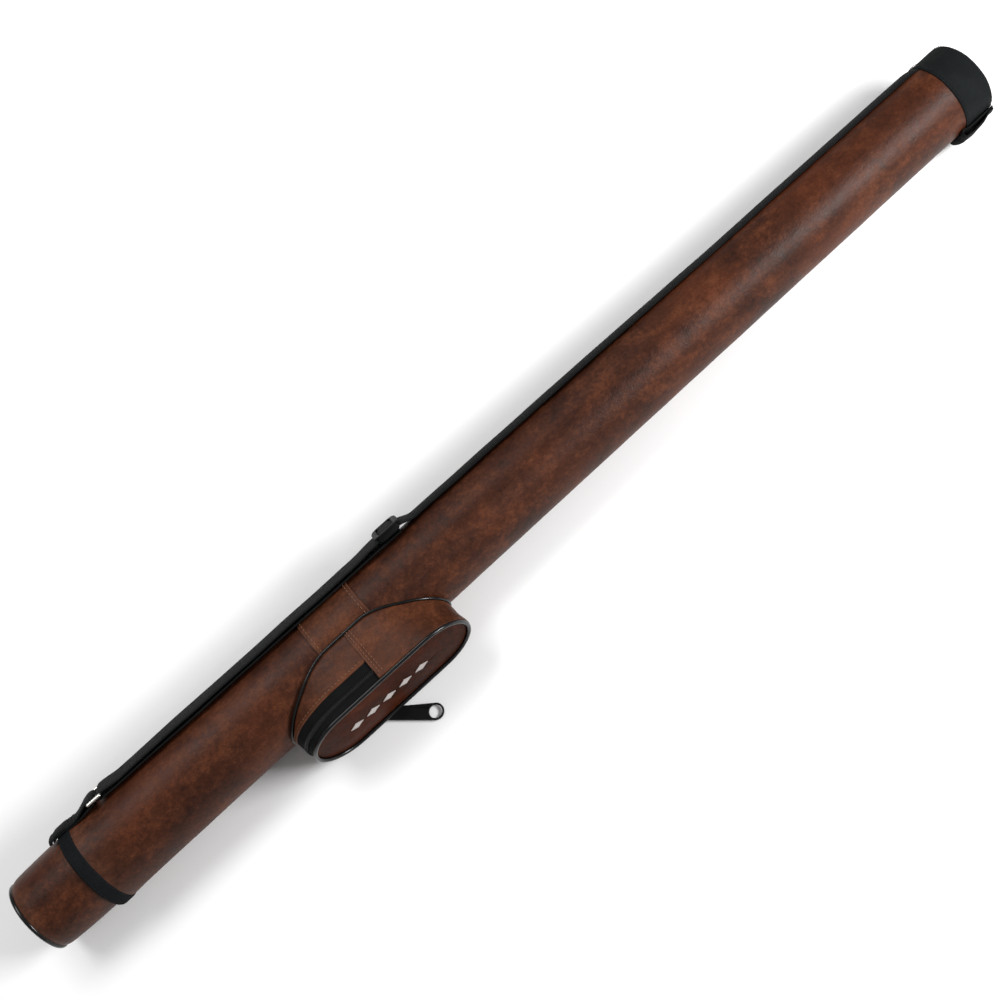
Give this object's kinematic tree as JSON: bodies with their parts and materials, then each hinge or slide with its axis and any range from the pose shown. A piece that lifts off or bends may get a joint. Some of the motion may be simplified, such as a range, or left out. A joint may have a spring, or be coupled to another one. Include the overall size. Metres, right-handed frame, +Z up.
{
  "type": "hard tube cue case",
  "caption": "Slim hard tube case for a two-piece cue, in brown faux leather with black nylon bindings, a push-fit lid, a zipped side pocket and a webbing shoulder strap.",
  "frame": {"origin": "below the middle of the case's box, on the surface that the case lies on", "axes": "+X along the tube from the lid to the closed end, +Z up, -Y towards the pocket's front"},
  "size_m": [0.845, 0.1172, 0.0682],
  "materials": {
    "brown_leather": "mottled dark brown faux leather, satin",
    "black_nylon": "black ribbed nylon binding and webbing",
    "black_piping": "glossy black vinyl piping",
    "zip_tape": "black woven zip tape",
    "zip_teeth": "black moulded coil teeth",
    "zip_metal": "black enamelled zip slider",
    "black_rubber": "soft black moulded rubber",
    "black_plastic": "black moulded plastic",
    "core_board": "stiff grey plastic tube",
    "foam_lining": "dark grey flocked foam",
    "nickel": "bright nickel plate"
  },
  "bodies": {
    "case": {"core_tube": "core_board", "leather_cover": "brown_leather", "cue_insert": "foam_lining", "end_pad": "foam_lining", "end_plug": "black_plastic", "end_sleeve": "black_nylon", "end_tab": "black_nylon", "mouth_band": "black_nylon", "pocket_band": "brown_leather", "pocket_back": "brown_leather", "pocket_base_piping": "black_piping", "pocket_gusset": "brown_leather", "pocket_side_cover": "brown_leather", "pocket_front": "brown_leather", "front_piping_fixed": "black_piping", "zip_tape_fixed": "zip_tape", "zip_teeth_fixed": "zip_teeth", "shoulder_strap": "black_nylon", "strap_tab": "black_nylon", "strap_ring": "nickel"},
    "lid": {"lid_plug": "core_board", "lid_cover": "brown_leather", "lid_top": "brown_leather", "lid_piping": "black_piping", "lid_pad": "foam_lining"},
    "flap": {"pocket_flap": "brown_leather", "front_piping_flap": "black_piping", "zip_tape_flap": "zip_tape", "zip_teeth_flap": "zip_teeth"},
    "slider": {"zip_slider": "zip_metal"},
    "puller": {"zip_puller": "black_rubber"},
    "adjuster": {"strap_adjuster": "black_plastic"}
  },
  "joints": [
    {"name": "lid_slide", "type": "slide", "parent": "case", "child": "lid", "axis": [-1, 0, 0], "range_m": [0, 0.12]},
    {"name": "pocket_flap", "type": "hinge", "parent": "case", "child": "flap", "pos_m": [-0.148, -0.036, 0.0331], "axis": [0, 0, 1], "range_deg": [0, 70]},
    {"name": "zip_slide", "type": "slide", "parent": "case", "child": "slider", "axis": [1, 0, 0], "range_m": [-0.011, 0.014]},
    {"name": "puller_swing", "type": "hinge", "parent": "slider", "child": "puller", "pos_m": [-0.17, -0.0265, 0.0041], "axis": [0, 0, 1], "range_deg": [-19, 65]},
    {"name": "adjuster_slide", "type": "slide", "parent": "case", "child": "adjuster", "axis": [1, -0.0038, -0.0028], "range_m": [-0.23, 0]}
  ]
}
